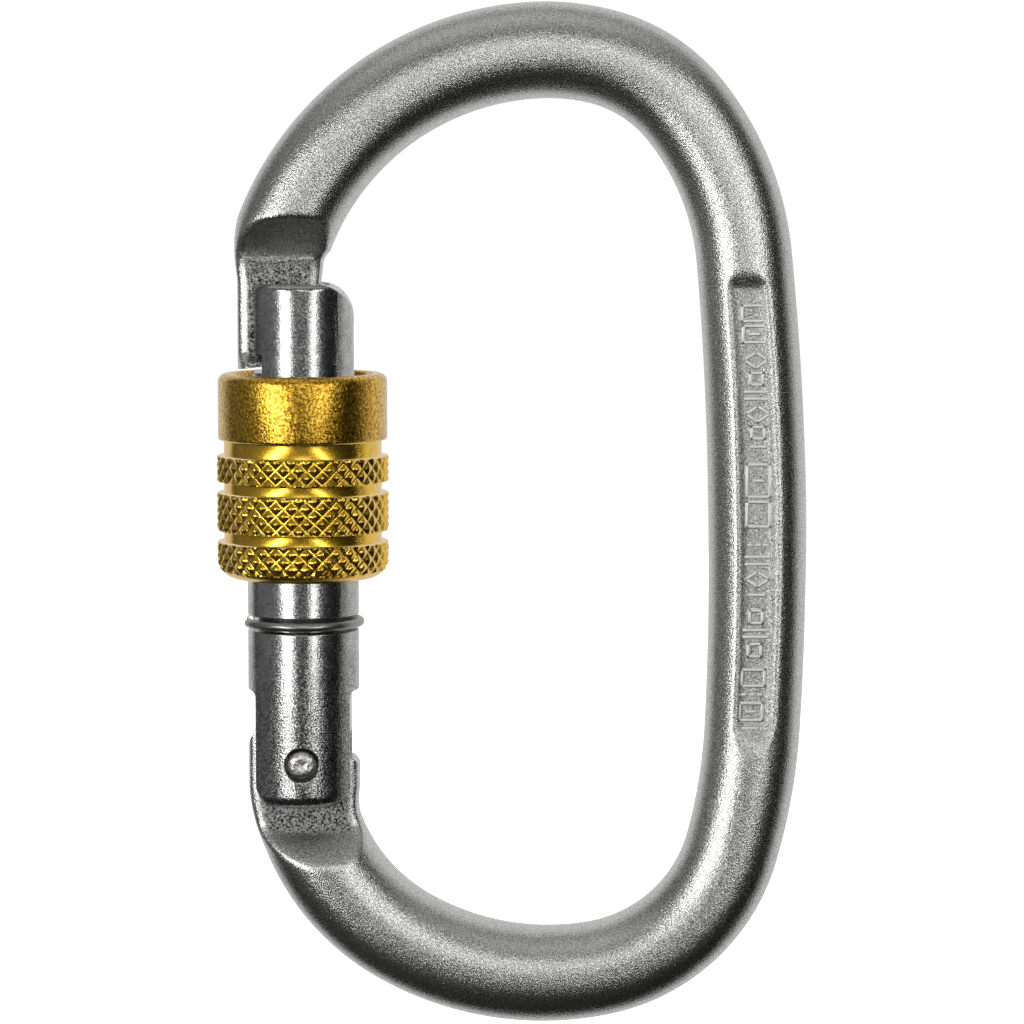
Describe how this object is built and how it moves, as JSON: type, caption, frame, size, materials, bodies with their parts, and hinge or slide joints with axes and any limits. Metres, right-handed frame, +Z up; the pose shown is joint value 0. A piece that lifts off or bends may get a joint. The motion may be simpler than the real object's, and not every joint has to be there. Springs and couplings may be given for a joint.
{
  "type": "screw-gate carabiner",
  "caption": "Oval carabiner: forged bow-shaped body, sprung swing gate on a rivet, and a knurled gold sleeve that screws up over the nose to lock it.",
  "frame": {"origin": "the inside of the top bow, where a sling or hook bears when the carabiner hangs", "axes": "+Z up along the long axis towards the top bow, +X across the opening from the gate to the spine, +Y through the thickness, from the face with the first marking recess (at -Y) to the other"},
  "size_m": [0.0624, 0.0182, 0.1084],
  "materials": {
    "body_aluminium": "hot-forged and tumbled, satin with a fine grain",
    "gate_aluminium": "turned and polished, with fine scratches",
    "rivet_steel": "bright, peened ends",
    "spring_steel": "drawn wire",
    "plunger_steel": "ground",
    "ring_steel": "drawn wire, plated",
    "sleeve_gold_anodised": "gold anodised over a tumbled hood and a diamond knurl",
    "brake_nylon": "moulded"
  },
  "bodies": {
    "frame_body": {"body": "body_aluminium"},
    "gate_assembly": {"gate": "gate_aluminium", "hinge_rivet": "rivet_steel", "gate_spring": "spring_steel", "stop_ring": "ring_steel"},
    "plunger": {"spring_plunger": "plunger_steel"},
    "sleeve_carrier": {"sleeve_brake_ring": "brake_nylon"},
    "sleeve": {"lock_sleeve": "sleeve_gold_anodised"}
  },
  "joints": [
    {"name": "gate_hinge", "type": "hinge", "parent": "frame_body", "child": "gate_assembly", "pos_m": [-0.02593, 0, -0.06975], "axis": [0, 1, 0], "range_deg": [0, 26], "stiffness_Nm_per_rad": 0.35, "springref_deg": -34.38},
    {"name": "plunger_push", "type": "slide", "parent": "gate_assembly", "child": "plunger", "axis": [0, 0, 1], "range_m": [0, 0.00092], "deforming": ["gate_spring"]},
    {"name": "sleeve_travel", "type": "slide", "parent": "gate_assembly", "child": "sleeve_carrier", "axis": [0, 0, 1], "range_m": [-0.00375, 0.009]},
    {"name": "sleeve_turn", "type": "hinge", "parent": "sleeve_carrier", "child": "sleeve", "pos_m": [-0.02593, 0, -0.04], "axis": [0, 0, 1], "range_deg": [-900, 2160]}
  ],
  "couplings": [
    {"joint": "plunger_push", "follows": "gate_hinge", "m_per_rad": 0.0019833},
    {"joint": "sleeve_turn", "follows": "sleeve_travel", "rad_per_m": 4188.8}
  ]
}
